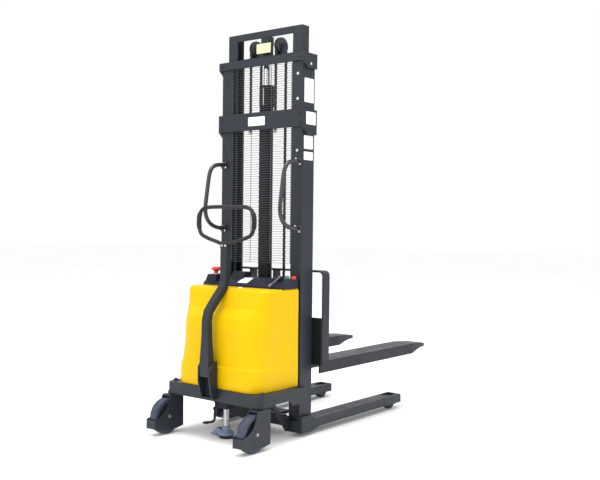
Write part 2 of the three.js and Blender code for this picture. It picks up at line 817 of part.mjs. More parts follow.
function lockPedal() {
  const { x, y } = LOCK;
  const points = [
    [x - 58, y - 20, 140],
    [x - 58, y - 24, 110],
    [x - 52, y - 30, 90],
    [x - 56, y - 36, 79],
    [x - 72, y - 42, 73],
    [x - 88, y - 46, 71],
  ].map((p) => new THREE.Vector3(...p));
  const rod = bar(new THREE.CatmullRomCurve3(points), 6, 10, 8);
  const hub = cylinderX(y - 20, 140, 9, x - 66, x - 50.5, 14);
  const tread = box(x - 104, x - 78, y - 62, y - 36, 66, 74);
  return join(rod, hub, tread);
}

// ---------------------------------------------------------------- assembly

piece(chassis, "chassis_rear_beam", chassisRearBeam(), FRAME_PAINT);
pair(chassis, "chassis_side", chassisSide(), FRAME_PAINT);
piece(chassis, "battery_tray", batteryTray(), FRAME_PAINT);
pair(chassis, "leg", leg(), FRAME_PAINT);
piece(chassis, "lower_cross_member", lowerCrossMember(), FRAME_PAINT);
pair(chassis, "outer_column", outerColumn(), FRAME_PAINT);
piece(chassis, "outer_crossbeam_top", crossbeam(1892, 1934, 1859, 1934), FRAME_PAINT);
piece(chassis, "outer_crossbeam_middle", middleCrossbeam(), FRAME_PAINT);
piece(chassis, "mesh_guard_lower", meshGuard(870, 1558, 8), STEEL);
piece(chassis, "mesh_guard_upper", meshGuard(1654, 1889, 3), STEEL);
pair(chassis, "grab_handle", grabHandle(), BLACK_RUBBER);
piece(chassis, "cylinder_barrel", cylinderBarrel(), FRAME_PAINT);
piece(chassis, "cover", cover(), COVER_YELLOW);
piece(chassis, "control_console", controlConsole(), BLACK_PLASTIC);
piece(chassis, "battery", battery(), BATTERY_CASE);
piece(chassis, "oil_tank", oilTank(), FRAME_PAINT);
piece(chassis, "pump_motor", pumpMotor(), MOTOR_PAINT);
piece(chassis, "tiller_bracket", tillerBracket(), FRAME_PAINT);
pair(chassis, "anchor_chain", chainStrand(50, CHAIN.anchorZ, PULLEY.z), CHAIN_STEEL);

pair(innerMast, "inner_column", innerColumn(), FRAME_PAINT);
piece(innerMast, "inner_top_beam", innerTopBeam(), FRAME_PAINT);
piece(innerMast, "pulley_beam", pulleyBeam(), FRAME_PAINT);
piece(innerMast, "piston_rod", pistonRod(), CHROME);

piece(carriage, "carriage_plate", carriagePlate(), FRAME_PAINT);
pair(carriage, "carriage_side", carriageSide(), FRAME_PAINT);
pair(carriage, "fork", fork(), FRAME_PAINT);
piece(carriage, "load_backrest", loadBackrest(), FRAME_PAINT);
pair(carriage, "lift_chain", chainStrand(132, CHAIN.carriageZ, PULLEY.z), CHAIN_STEEL);

pair(running, "caster_fork", casterFork(), FRAME_PAINT);
for (const [side, sign] of LEFT_AND_RIGHT) {
  const chainWheel = piece(innerMast, `pulley_${side}`, pulley(), STEEL);
  chainWheel.position.set(sign * PULLEY.x, PULLEY.y, PULLEY.z);
  const guide = piece(innerMast, `mast_roller_${side}`, mastRoller(), STEEL);
  guide.position.set(sign * 257.5, MAST_Y, INNER.bottom + 42);
  for (const [level, z] of Object.entries(CARRIAGE_ROLLERS)) {
    const roller = piece(carriage, `carriage_roller_${level}_${side}`, carriageRoller(), STEEL);
    roller.position.set(sign * 215, MAST_Y, z);
    roller.scale.x = sign;
  }
  const wheel = piece(running, `caster_wheel_${side}`, casterWheel(), CASTER_NYLON);
  wheel.position.set(sign * CASTER.x, CASTER.wheelY, CASTER.radius);
  const roller = piece(running, `load_roller_${side}`, loadRoller(), BLACK_RUBBER);
  roller.position.set(sign * LOAD_ROLLER.x, LOAD_ROLLER.y, LOAD_ROLLER.radius);
}

piece(tiller, "tiller_arm", tillerArm(), FRAME_PAINT);
piece(tiller, "tiller_loop", tillerLoop(), BLACK_RUBBER);

piece(controls, "emergency_stop", emergencyStop(), RED_PLASTIC).position.set(STOP.x, STOP.y, STOP.z);
for (const [name, x, look] of BUTTONS) {
  piece(controls, name, pushButton(), look).position.set(x, BUTTON.y, CONSOLE.top);
}
piece(controls, "lift_lever", liftLever(), STEEL);

piece(floorLock, "floor_lock_housing", lockHousing(), BLACK_PLASTIC);
piece(floorLock, "floor_lock_foot", lockFoot(), LOCK_PAINT);
piece(floorLock, "floor_lock_pedal", lockPedal(), STEEL);

export default stacker;
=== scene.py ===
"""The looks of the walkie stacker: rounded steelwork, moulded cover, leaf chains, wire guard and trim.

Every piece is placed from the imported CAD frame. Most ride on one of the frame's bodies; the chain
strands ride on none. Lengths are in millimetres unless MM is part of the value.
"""

import json
import math

import bmesh
import bpy
from mathutils import Matrix, Vector

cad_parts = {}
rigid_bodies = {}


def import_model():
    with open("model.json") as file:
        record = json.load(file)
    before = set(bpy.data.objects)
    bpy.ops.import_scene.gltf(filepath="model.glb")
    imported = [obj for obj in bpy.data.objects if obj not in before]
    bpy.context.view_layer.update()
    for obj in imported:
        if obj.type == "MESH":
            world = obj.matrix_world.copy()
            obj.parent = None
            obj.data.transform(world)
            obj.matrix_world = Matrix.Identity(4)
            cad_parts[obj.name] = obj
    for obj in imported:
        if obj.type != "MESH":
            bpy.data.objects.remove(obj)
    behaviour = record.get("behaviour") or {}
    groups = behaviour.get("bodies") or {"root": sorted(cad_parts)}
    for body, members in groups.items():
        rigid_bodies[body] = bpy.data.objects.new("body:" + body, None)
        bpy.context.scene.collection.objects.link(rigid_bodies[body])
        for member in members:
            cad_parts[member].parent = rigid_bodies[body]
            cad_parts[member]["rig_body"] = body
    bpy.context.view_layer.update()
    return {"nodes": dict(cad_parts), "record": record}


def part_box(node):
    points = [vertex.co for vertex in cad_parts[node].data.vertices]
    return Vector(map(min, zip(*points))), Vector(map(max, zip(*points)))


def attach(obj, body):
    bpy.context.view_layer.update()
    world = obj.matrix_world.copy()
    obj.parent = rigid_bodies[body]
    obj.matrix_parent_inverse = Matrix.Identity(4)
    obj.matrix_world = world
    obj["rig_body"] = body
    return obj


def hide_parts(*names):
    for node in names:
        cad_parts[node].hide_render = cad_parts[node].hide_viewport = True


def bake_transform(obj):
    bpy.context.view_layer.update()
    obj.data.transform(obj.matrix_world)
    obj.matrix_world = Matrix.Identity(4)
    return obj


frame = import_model()

NODES = frame["nodes"]
SLOT_OF = {part["node"]: part["material_slot"] for part in frame["record"]["subparts"]}
MM = 0.001
COLUMN_REAR = 34  # depth of the outer columns' rear faces from the datum plane, in millimetres
DATUM_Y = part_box("outer_column_right")[0].y - COLUMN_REAR * MM
OUTER_FACE = 275  # half width over the outer columns
CHEEK_FACE = 290  # half width over the crossbeams' cheeks
SIDES = (("left", -1), ("right", 1))
RIGHT = Vector((1, 0, 0))
UP = Vector((0, 0, 1))
REARWARD = Vector((0, -1, 0))


def place(x, y, z):
    """A point given in millimetres from the middle, the datum plane and the floor."""
    return Vector((x * MM, y * MM + DATUM_Y, z * MM))


def middle_of(node):
    """The middle of a CAD node's box."""
    low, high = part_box(node)
    return (low + high) / 2


def smoothstep(low, high, value):
    """Rises softly from 0 to 1 between two values."""
    t = min(max((value - low) / (high - low), 0), 1)
    return t * t * (3 - 2 * t)


# ---------------------------------------------------------------- materials


def linear(red, green, blue):
    """An 8-bit display colour as the linear RGBA that shaders take."""
    channels = [c / 255 for c in (red, green, blue)]
    return [c / 12.92 if c <= 0.04045 else ((c + 0.055) / 1.055) ** 2.4 for c in channels] + [1]


def noise(tree, scale, detail, stretch=(1, 1, 1)):
    """A noise texture in object space, squeezed along each axis by stretch."""
    coords = tree.nodes.new("ShaderNodeTexCoord")
    mapping = tree.nodes.new("ShaderNodeMapping")
    mapping.inputs["Scale"].default_value = stretch
    texture = tree.nodes.new("ShaderNodeTexNoise")
    texture.inputs["Scale"].default_value = scale
    texture.inputs["Detail"].default_value = detail
    tree.links.new(coords.outputs["Object"], mapping.inputs["Vector"])
    tree.links.new(mapping.outputs["Vector"], texture.inputs["Vector"])
    return texture.outputs["Fac"]


NOISE_LOW, NOISE_HIGH = 0.3, 0.7  # the range that nearly all of a noise texture lies in


def ramp(tree, factor, low, high):
    """Two colours spread over a noise factor."""
    node = tree.nodes.new("ShaderNodeValToRGB")
    node.color_ramp.elements[0].position = NOISE_LOW
    node.color_ramp.elements[1].position = NOISE_HIGH
    node.color_ramp.elements[0].color = low
    node.color_ramp.elements[1].color = high
    tree.links.new(factor, node.inputs["Fac"])
    return node.outputs["Color"]


def spread(tree, factor, low, high):
    """A number between low and high that follows a noise factor."""
    node = tree.nodes.new("ShaderNodeMapRange")
    node.inputs["From Min"].default_value = NOISE_LOW
    node.inputs["From Max"].default_value = NOISE_HIGH
    node.inputs["To Min"].default_value = low
    node.inputs["To Max"].default_value = high
    tree.links.new(factor, node.inputs["Value"])
    return node.outputs["Result"]


def finish_of(
    name, colour, roughness, metallic=0.0, coat=0.0, shine=0.5, tint=0.06, patch=6, grain=400, relief=0.1,
    streak=(1, 1, 1), scuff=None,
):
    """A finish with cloudy colour, uneven roughness, a fine surface grain and, if asked, rubbed patches.

    tint is how far the colour varies, patch and grain are texture scales, relief is the bump in
    tenths of a millimetre, shine is the strength of the reflection at the surface, streak draws
    the grain out along an axis, and scuff is (colour, share).
    """
    look = bpy.data.materials.new(name)
    look.use_nodes = True
    tree = look.node_tree
    shader = tree.nodes["Principled BSDF"]
    base = linear(*colour)
    dark = [c * (1 - tint) for c in base[:3]] + [1]
    light = [min(c * (1 + tint), 1) for c in base[:3]] + [1]
    cloud = noise(tree, patch, 4)
    paint = ramp(tree, cloud, dark, light)
    fine = noise(tree, grain, 2, streak)
    rough = spread(tree, noise(tree, patch * 3, 5), roughness * 0.85, min(roughness * 1.2, 1))
    if scuff:
        worn, share = scuff
        mask = tree.nodes.new("ShaderNodeMath")
        mask.operation = "MULTIPLY"
        mask.use_clamp = True
        patches = spread(tree, noise(tree, 14, 6, (1, 0.35, 1)), 0, share)
        scratches = spread(tree, noise(tree, 160, 3, (1, 0.12, 1)), 0, 1)
        tree.links.new(patches, mask.inputs[0])
        tree.links.new(scratches, mask.inputs[1])
        mix = tree.nodes.new("ShaderNodeMixRGB")
        mix.inputs["Color2"].default_value = linear(*worn)
        tree.links.new(mask.outputs["Value"], mix.inputs["Fac"])
        tree.links.new(paint, mix.inputs["Color1"])
        paint = mix.outputs["Color"]
    bump = tree.nodes.new("ShaderNodeBump")
    bump.inputs["Strength"].default_value = 0.5
    bump.inputs["Distance"].default_value = relief * 0.1 * MM
    tree.links.new(fine, bump.inputs["Height"])
    tree.links.new(paint, shader.inputs["Base Color"])
    tree.links.new(rough, shader.inputs["Roughness"])
    tree.links.new(bump.outputs["Normal"], shader.inputs["Normal"])
    shader.inputs["Metallic"].default_value = metallic
    shader.inputs["Coat Weight"].default_value = coat
    shader.inputs["Specular IOR Level"].default_value = shine
    shader.inputs["Coat Roughness"].default_value = 0.12
    return look


PAINT = finish_of("frame_paint", (32, 38, 45), 0.42, shine=0.3, grain=900, relief=1.2)
FORK_PAINT = finish_of(
    "fork_paint", (27, 32, 38), 0.42, shine=0.22, grain=900, relief=1.2, scuff=((70, 74, 79), 0.22),
)
# Near-black: the display window's own colour, and painted shade on the carriage plate and side plates, which
# stand in the mast's shadow.
DARK_PAINT_AND_SHADE = finish_of("dark_paint_and_painted_shade", (14, 18, 22), 0.5, shine=0.25, grain=900, relief=1.2)
YELLOW = finish_of("cover_yellow", (214, 172, 0), 0.36, shine=0.12, tint=0.02, patch=3, grain=700, relief=0.6)
BLACK = finish_of("black_plastic", (16, 19, 38), 0.5, shine=0.3, tint=0.12, grain=1400, relief=2.5)
GRIP = finish_of("grip_rubber", (24, 24, 27), 0.75, tint=0.15, grain=1600, relief=4)
TUBE = finish_of("tube_paint", (28, 30, 36), 0.35, coat=0.3, grain=800, relief=1)
CHROME = finish_of(
    "chrome", (205, 208, 212), 0.1, metallic=1, tint=0.02, grain=500, relief=0.3, streak=(1, 1, 0.05),
)
STEEL = finish_of("machined_steel", (165, 168, 172), 0.3, metallic=1, grain=900, relief=1, streak=(0.1, 1, 1))
ZINC = finish_of(
    "zinc_fasteners", (205, 205, 200), 0.35, metallic=0.9, tint=0.15, patch=60, grain=900, relief=1,
)
CHAIN = finish_of("oiled_chain", (66, 64, 62), 0.38, metallic=0.85, tint=0.3, patch=40, grain=800, relief=1.5)
WIRE = finish_of("guard_wire", (84, 87, 92), 0.45, metallic=0.4, tint=0.1, patch=30)
NYLON = finish_of(
    "caster_nylon", (38, 46, 68), 0.48, tint=0.1, patch=25, grain=700, relief=3, scuff=((78, 84, 98), 0.35),
)
HUB = finish_of("wheel_hub", (40, 42, 48), 0.4, tint=0.1, grain=700, relief=2)
RUBBER = finish_of("roller_tread", (30, 31, 34), 0.6, tint=0.15, patch=40, grain=900, relief=3)
RED = finish_of("red_plastic", (206, 34, 24), 0.3, coat=0.4, tint=0.05, patch=50, grain=900, relief=0.8)
GREEN = finish_of("green_plastic", (14, 140, 100), 0.3, coat=0.4, tint=0.05, patch=50, grain=900, relief=0.8)
LOCK = finish_of("lock_paint", (104, 120, 146), 0.4, coat=0.2, tint=0.1, patch=30, grain=900, relief=1.5)
CAST = finish_of("cast_pulley", (58, 61, 66), 0.4, metallic=0.4, tint=0.12, patch=30, grain=900, relief=2)
LEVER = finish_of("worn_steel", (120, 123, 130), 0.4, metallic=0.8, tint=0.1, patch=40, grain=900, relief=1.5)
PAPER = finish_of(
    "white_sticker", (232, 235, 232), 0.35, coat=0.1, tint=0.02, patch=30, grain=1200, relief=0.4,
)
CREAM = finish_of("cream_plate", (214, 218, 168), 0.4, tint=0.03, patch=30, grain=900, relief=0.6)
BATTERY = finish_of("battery_case", (40, 43, 48), 0.55, tint=0.1, grain=1200, relief=3)
MOTOR = finish_of("motor_paint", (46, 50, 56), 0.45, tint=0.08, grain=700, relief=2)

LOOK_OF_SLOT = {
    "frame_paint": PAINT,
    "black_plastic": BLACK,
    "chrome": CHROME,
    "battery_case": BATTERY,
    "motor_paint": MOTOR,
}


# ---------------------------------------------------------------- mesh helpers


def show(name, bm, look, body, sharp=35):
    """Turns a bmesh into a smooth-shaded piece that rides on a body, or on none if body is None."""
    bmesh.ops.recalc_face_normals(bm, faces=bm.faces)
    mesh = bpy.data.meshes.new(name)
    bm.to_mesh(mesh)
    bm.free()
    mesh.shade_smooth()
    mesh.set_sharp_from_angle(angle=math.radians(sharp))
    piece = bpy.data.objects.new(name, mesh)
    bpy.context.scene.collection.objects.link(piece)
    mesh.materials.append(look)
    if body:
        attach(piece, body)
    return piece


def soften(piece, width, segments=3, angle=32):
    """Rounds a piece's edges."""
    bevel = piece.modifiers.new("rounded_edges", "BEVEL")
    bevel.width = width * MM
    bevel.segments = segments
    bevel.limit_method = "ANGLE"
    bevel.angle_limit = math.radians(angle)
    bevel.harden_normals = True


def rounded_copy(node, look=None, width=1.5, segments=3):
    """Shows a CAD node's shape with rounded edges in the node's place."""
    bm = bmesh.new()
    bm.from_mesh(NODES[node].data)
    bmesh.ops.remove_doubles(bm, verts=bm.verts, dist=0.01 * MM)
    bmesh.ops.dissolve_limit(bm, angle_limit=math.radians(1), verts=bm.verts, edges=bm.edges)
    slot = SLOT_OF[node]
    piece = show(f"{node}_finished", bm, look or LOOK_OF_SLOT[slot], NODES[node]["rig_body"])
    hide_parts(node)
    soften(piece, width, segments)
    return piece


def add_ring_stack(bm, rings, closed=False):
    """Skins a list of equal rings of points, capping both ends unless the stack is closed."""
    rows = [[bm.verts.new(p) for p in ring] for ring in rings]
    pairs = list(zip(rows, rows[1:])) + ([(rows[-1], rows[0])] if closed else [])
    for lower, upper in pairs:
        for i in range(len(lower)):
            j = (i + 1) % len(lower)
            bm.faces.new((lower[i], lower[j], upper[j], upper[i]))
    if not closed:
        bm.faces.new(rows[0][::-1])
        bm.faces.new(rows[-1])


def add_box(bm, low, high):
    """A box between two opposite corners."""
    corners = [[(x, y, z) for x, y in ((0, 0), (1, 0), (1, 1), (0, 1))] for z in (0, 1)]
    picked = [[Vector([(low, high)[c][k] for k, c in enumerate(p)]) for p in ring] for ring in corners]
    add_ring_stack(bm, picked)


def basis_for(axis):
    """Two directions square to an axis."""
    axis = axis.normalized()
    helper = UP if abs(axis.z) < 0.9 else RIGHT
    side = axis.cross(helper).normalized()
    return side, axis.cross(side)


def circle(centre, side, other, radius, count):
    """Equally spaced points on a circle in the plane of two directions, with its radius in metres."""
    angles = [2 * math.pi * k / count for k in range(count)]
    return [centre + (side * math.cos(a) + other * math.sin(a)) * radius for a in angles]


def add_turned(bm, centre, axis, profile, segments=32):
    """Turns a profile of (radius, height) in millimetres about an axis.

    The profile closes on itself, or on the axis if it starts there.
    """
    side, other = basis_for(axis)
    on_axis = profile[0][0] == 0
    inner = profile[1:-1] if on_axis else profile
    rings = [circle(centre + axis * h * MM, side, other, r * MM, segments) for r, h in inner]
    add_ring_stack(bm, rings, closed=not on_axis)


def add_tube(bm, path, radii, sides=16, closed=False):
    """A round bar through a list of points, with its own radius in millimetres at each."""
    rings = []
    count = len(path)
    normal = None
    for i, point in enumerate(path):
        before = path[i - 1] if closed or i else point
        after = path[(i + 1) % count] if closed or i + 1 < count else point
        along = (after - before).normalized()
        if normal is None:
            normal = basis_for(along)[0]
        normal = (normal - along * normal.dot(along)).normalized()
        rings.append(circle(point, normal, along.cross(normal), radii[i] * MM, sides))
    add_ring_stack(bm, rings, closed)


def smooth_path(points, steps=6, closed=False):
    """Points along a Catmull-Rom curve through the given points."""
    count = len(points)
    spans = count if closed else count - 1
    route = []
    for i in range(spans):
        p1, p2 = points[i], points[(i + 1) % count]
        p0 = points[i - 1] if closed or i else p1
        p3 = points[(i + 2) % count] if closed or i + 2 < count else p2
        for k in range(steps):
            t = k / steps
            a = 2 * p1
            b = (p2 - p0) * t
            c = (2 * p0 - 5 * p1 + 4 * p2 - p3) * t * t
            d = (3 * p1 - p0 - 3 * p2 + p3) * t ** 3
            route.append((a + b + c + d) / 2)
    return route if closed else route + [points[-1]]


def add_screw(bm, at, axis, radius):
    """A washer with a hexagon head on it, standing on a face."""
    washer = [(0, 0), (radius * 1.55, 0), (radius * 1.5, 0.14 * radius), (0, 0.14 * radius)]
    add_turned(bm, at, axis, washer, 20)
    side, other = basis_for(axis)
    size = radius * MM
    head = ((1, 0.1), (1, 0.62), (0.86, 0.8))  # reach and height, as shares of the radius
    rings = [circle(at + axis * height * size, side, other, reach * size, 6) for reach, height in head]
    add_ring_stack(bm, rings)


def screws(name, body, axis, radius, points, look=ZINC):
    """A set of equal screw heads on one body."""
    bm = bmesh.new()
    for point in points:
        add_screw(bm, point, axis, radius)
    return show(name, bm, look, body, sharp=25)


def plate(name, body, centre, across, up, width, height, look, thickness=0.6, corner=4):
    """A thin plate with rounded corners, such as a blank sticker, lying on a face."""
    across, up = across.normalized(), up.normalized()
    out = across.cross(up)
    outline = []
    for sx, sy, start in ((1, -1, -90), (1, 1, 0), (-1, 1, 90), (-1, -1, 180)):
        for k in range(5):
            a = math.radians(start + k * 22.5)
            u = sx * (width / 2 - corner) + corner * math.cos(a)
            v = sy * (height / 2 - corner) + corner * math.sin(a)
            outline.append(centre + across * u * MM + up * v * MM)
    bm = bmesh.new()
    add_ring_stack(bm, [outline, [p + out * thickness * MM for p in outline]])
    return show(name, bm, look, body)


# ---------------------------------------------------------------- steelwork


def steelwork():
    """Frame, masts, carriage and legs, with the edges that folded and rolled steel has."""
    for side, _ in SIDES:
        rounded_copy(f"outer_column_{side}", width=3)
        rounded_copy(f"inner_column_{side}", width=2.5)
        rounded_copy(f"leg_{side}", width=3)
        rounded_copy(f"chassis_side_{side}", width=1.5)
        # Near-black on the carriage's side plates is painted shade, for the mast's shadow on them.
        rounded_copy(f"carriage_side_{side}", DARK_PAINT_AND_SHADE, width=1)
        rounded_copy(f"fork_{side}", FORK_PAINT, width=4, segments=4)
        rounded_copy(f"caster_fork_{side}", width=1.2)
    for node in ("chassis_rear_beam", "battery_tray", "lower_cross_member", "tiller_bracket"):
        rounded_copy(node, width=2)
    for node in ("outer_crossbeam_top", "outer_crossbeam_middle", "inner_top_beam", "pulley_beam"):
        rounded_copy(node, width=1.5)
    # Near-black on the carriage plate is painted shade, for the mast's shadow on it.
    rounded_copy("carriage_plate", DARK_PAINT_AND_SHADE, width=1.5)
    rounded_copy("load_backrest", width=1.2)
    rounded_copy("cylinder_barrel", DARK_PAINT_AND_SHADE, width=1.5)
    rounded_copy("tiller_arm", width=3, segments=4)
    for node in ("battery", "oil_tank", "pump_motor", "floor_lock_housing"):
        rounded_copy(node, width=2.5)
    rounded_copy("floor_lock_pedal", DARK_PAINT_AND_SHADE, width=1)
    rounded_copy("control_console", width=3, segments=4)
    rounded_copy("piston_rod", width=0.8)


def weld(name, body, points, radius=3):
    """A weld bead: a low ridge with the ripples of the runs that made it."""
    ripple = 2.2 * MM
    length = sum((b - a).length for a, b in zip(points, points[1:]))
    count = max(int(length / ripple), 4)
    path, radii = [], []
    for k in range(count + 1):
        t = k / count * (len(points) - 1)
        i = min(int(t), len(points) - 2)
        path.append(points[i].lerp(points[i + 1], t - i))
        radii.append(radius * (1 if k % 2 else 0.86))
    bm = bmesh.new()
    add_tube(bm, path, radii, sides=8)
    return show(name, bm, PAINT, body, sharp=60)


def welds():
    """Beads where the crossbeams, legs and forks join their neighbours."""
    for side, sign in SIDES:
        column_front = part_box(f"outer_column_{side}")[1].y
        edge = sign * (OUTER_FACE + 0.5)
        for beam in ("outer_crossbeam_top", "outer_crossbeam_middle"):
            low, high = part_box(beam)
            run = [Vector((edge * MM, column_front - 2 * MM, z)) for z in (high.z - 4 * MM, low.z + 40 * MM)]
            weld(f"{beam}_weld_{side}", "chassis", run, 2.5)
        foot = [place(sign * x, 137, 81.5) for x in (210, 272)]
        weld(f"leg_weld_{side}", "chassis", foot)
        shank = [place(sign * x, 159.5, 375) for x in (202, 320)]
        weld(f"fork_weld_{side}", "carriage", shank)
        plate_edge = [place(sign * 201, 151, z) for z in (380, 552)]
        weld(f"fork_shank_weld_{side}", "carriage", plate_edge, 2.5)


WIRE_PITCH = 12.6  # between the level wires


def guard_wires():
    """The mesh guard: fine level wires welded across a few upright ones."""
    for name in ("mesh_guard_lower", "mesh_guard_upper"):
        low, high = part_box(name)
        middle = middle_of(name).y
        bm = bmesh.new()
        rows = round((high.z - low.z) / (WIRE_PITCH * MM))
        for k in range(rows + 1):
            z = low.z + 1.5 * MM + k / rows * (high.z - low.z - 3 * MM)
            ends = [Vector((x, middle, z)) for x in (low.x, high.x)]
            add_tube(bm, ends, [1.1, 1.1], sides=6)
        for share in (0.006, 0.335, 0.665, 0.994):
            x = low.x + share * (high.x - low.x)
            ends = [Vector((x, middle - 0.6 * MM, z)) for z in (low.z, high.z)]
            add_tube(bm, ends, [1.5, 1.5], sides=6)
        piece = show(f"{name}_wires", bm, WIRE, "chassis", sharp=70)
        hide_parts(name)


# ---------------------------------------------------------------- chains and pulleys

PITCH = 12.7  # from pin to pin
PLATE_TIERS = ((-5.6, 1), (-1.9, 0), (1.9, 1), (5.6, 0))  # each plate's offset and parity
PLATE_THICKNESS = 2.2
WRAP_LINKS = 10
CHAIN_REACH = 41 * MM  # from the pulley's centre to the chain's centre line


def add_link(bm, start, end, across, offset, thickness, radius=4.2):
    """One chain plate: rounded at both pins, between two points on the chain's centre line."""
    along = (end - start).normalized()
    out = across.cross(along)
    outline = []
    for centre, direction in ((end, 1), (start, -1)):
        for k in range(5):
            a = math.radians(-90 + k * 45)
            outline.append(centre + (along * math.cos(a) + out * math.sin(a)) * direction * radius * MM)
    shifts = [across * (offset + s * thickness / 2) * MM for s in (-1, 1)]
    add_ring_stack(bm, [[p + shift for p in outline] for shift in shifts])


def add_chain(bm, pins):
    """A leaf chain through a list of pin centres."""
    for i, (start, end) in enumerate(zip(pins, pins[1:])):
        for offset, parity in PLATE_TIERS:
            if i % 2 == parity:
                add_link(bm, start, end, RIGHT, offset, PLATE_THICKNESS)
            else:
                inward = 1 if offset < 0 else -1
                add_link(bm, start, end, RIGHT, offset + 1.1 * inward, 1.2, 3.6)
    for pin in pins:
        ends = [pin + RIGHT * s * 7 * MM for s in (-1, 1)]
        add_tube(bm, ends, [1.9, 1.9], sides=8)


def chains():
    """Leaf chains up to the pulleys and over them, with the pulleys and the anchor nuts."""
    for side, sign in SIDES:
        hub = middle_of(f"pulley_{side}")
        for node, towards, bodies in (
            (f"anchor_chain_{side}", -1, ("chassis", "inner_mast")),
            (f"lift_chain_{side}", 1, ("carriage", "inner_mast")),
        ):
            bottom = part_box(node)[0].z
            count = round((hub.z - bottom - 5 * MM) / (PITCH * MM))
            y = hub.y + towards * CHAIN_REACH
            heights = [bottom + 5 * MM + k / count * (hub.z - bottom - 5 * MM) for k in range(count + 1)]
            bm = bmesh.new()
            add_chain(bm, [Vector((hub.x, y, z)) for z in heights])
            piece = show(f"{node}_links", bm, CHAIN, None, sharp=50)
            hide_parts(node)
            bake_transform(piece)
        angles = [math.pi * k / WRAP_LINKS for k in range(WRAP_LINKS + 1)]
        bm = bmesh.new()
        add_chain(bm, [hub + Vector((0, -math.cos(a), math.sin(a))) * CHAIN_REACH for a in angles])
        show(f"chain_wrap_{side}", bm, CHAIN, "inner_mast", sharp=50)

        bm = bmesh.new()
        add_turned(bm, hub, RIGHT, [
            (9, -12), (20, -12), (22, -9.5), (32, -9.5), (35, -12), (43, -12), (43, -8.6), (36, -7.6),
            (36, 7.6), (43, 8.6), (43, 12), (35, 12), (32, 9.5), (22, 9.5), (20, 12), (9, 12),
        ], 56)
        piece = show(f"pulley_{side}_turned", bm, CAST, f"pulley_{side}", sharp=25)
        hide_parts(f"pulley_{side}")

        nut = [(0, 0), (10.5, 0), (11.5, 1), (11.5, 6), (10.5, 7), (0, 7)]
        bm = bmesh.new()
        for z in (1543, 1552):
            add_turned(bm, place(sign * 85, 50, z), UP, nut, 6)
        show(f"anchor_nuts_{side}", bm, ZINC, "chassis", sharp=25)


# ---------------------------------------------------------------- wheels and rollers


def turned_piece(name, node, profile, look, segments=56, centre=None, axis=RIGHT):
    """A turned part shown in a CAD node's place, about the node's middle or another centre."""
    bm = bmesh.new()
    add_turned(bm, centre or middle_of(node), axis, profile, segments)
    piece = show(name, bm, look, NODES[node]["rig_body"], sharp=28)
    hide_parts(node)
    return piece


def wheels():
    """Caster wheels with their axle bolts, and the rollers of the legs, mast and carriage."""
    for side, sign in SIDES:
        node = f"caster_wheel_{side}"
        hub = middle_of(node)
        turned_piece(f"caster_tread_{side}", node, [
            (66, -20), (70, -23), (82, -23), (86, -21.6), (89, -18), (90, -13), (90, 13), (89, 18),
            (86, 21.6), (82, 23), (70, 23), (66, 20),
        ], NYLON, 72)
        bm = bmesh.new()
        for face in (-RIGHT, RIGHT):
            add_turned(bm, hub + face * 8 * MM, face, [
                (9, 0), (9, 14), (22, 14), (26, 12), (29, 5), (58, 4), (62, 9), (66.4, 10), (66.4, 0),
            ], 56)
        add_turned(bm, hub, RIGHT, [(9, -8.4), (66.4, -8.4), (66.4, 8.4), (9, 8.4)], 56)
        show(f"caster_hub_{side}", bm, HUB, node, sharp=28)
        turned_piece(f"load_roller_{side}_turned", f"load_roller_{side}", [
            (9.7, -23), (19, -23), (21, -20), (34, -20), (36.5, -19), (38, -16), (38, 16), (36.5, 19),
            (34, 20), (21, 20), (19, 23), (9.7, 23),
        ], RUBBER, 48)
        turned_piece(f"mast_roller_{side}_turned", f"mast_roller_{side}", [
            (8.6, -4), (18, -4), (19, -3), (27, -3), (28, -4), (36.4, -4), (37.4, -3), (37.4, 3),
            (36.4, 4), (28, 4), (27, 3), (19, 3), (18, 4), (8.6, 4),
        ], STEEL, 48)
        for level in ("lower", "upper"):
            name = f"carriage_roller_{level}_{side}"
            turned_piece(f"{name}_turned", name, [
                (6.8, -14), (11, -14.6), (17, -14.6), (18.5, -13.4), (18.5, 13.4), (17, 14.6),
                (11, 14.6), (6.8, 14),
            ], STEEL, 40)
        outward = RIGHT * sign
        to_fork_face = outward * 31.6 * MM
        screws(f"axle_bolts_{side}", f"caster_fork_{side}", outward, 6, [hub + to_fork_face])
        screws(f"axle_nuts_{side}", f"caster_fork_{side}", -outward, 6, [hub - to_fork_face])


# ---------------------------------------------------------------- cover and console

# Height, half width, rear depth and corner radius of the cover's plan outline, in millimetres.
COVER_STATIONS = (
    (260, 276, 304, 82), (290, 276, 308, 84), (370, 276, 308, 92), (450, 275, 308, 112),
    (550, 275, 305, 130), (608, 275, 295, 134), (655, 275, 254, 88), (700, 275, 242, 70),
    (735, 275, 232, 58), (743, 272, 228, 54), (750, 264, 218, 48),
)
COVER_FRONT = 18
COVER_RETURN = 26  # width of the flange at the front edge of each side
COVER_WALL = 3.5
COVER_ROWS = 200
REAR_STEPS, CORNER_STEPS, SIDE_STEPS = 14, 18, 60  # columns of the mesh on half a plan outline
BREAK_SOFTNESS = 3
CREASE_DEPTH = 7


def station_at(z):
    """Half width, depth and corner radius at a height, straight between the stations."""
    z = min(max(z, COVER_STATIONS[0][0]), COVER_STATIONS[-1][0])
    for lower, upper in zip(COVER_STATIONS, COVER_STATIONS[1:]):
        if z <= upper[0]:
            t = (z - lower[0]) / (upper[0] - lower[0])
            return [a + (b - a) * t for a, b in zip(lower[1:], upper[1:])]


def cover_plan(z):
    """The same three values with the moulding's soft breaks at the stations."""
    window = min(BREAK_SOFTNESS, z - COVER_STATIONS[0][0], COVER_STATIONS[-1][0] - z)
    samples = [station_at(z + window * k / 3) for k in range(-3, 4)]
    return [sum(values) / len(values) for values in zip(*samples)]


def crease_height(y):
    """The height of the styling line: level at the rear, sweeping up along each side."""
    return 366 + 157 * max((y + 168) / 113, 0) ** 2.4


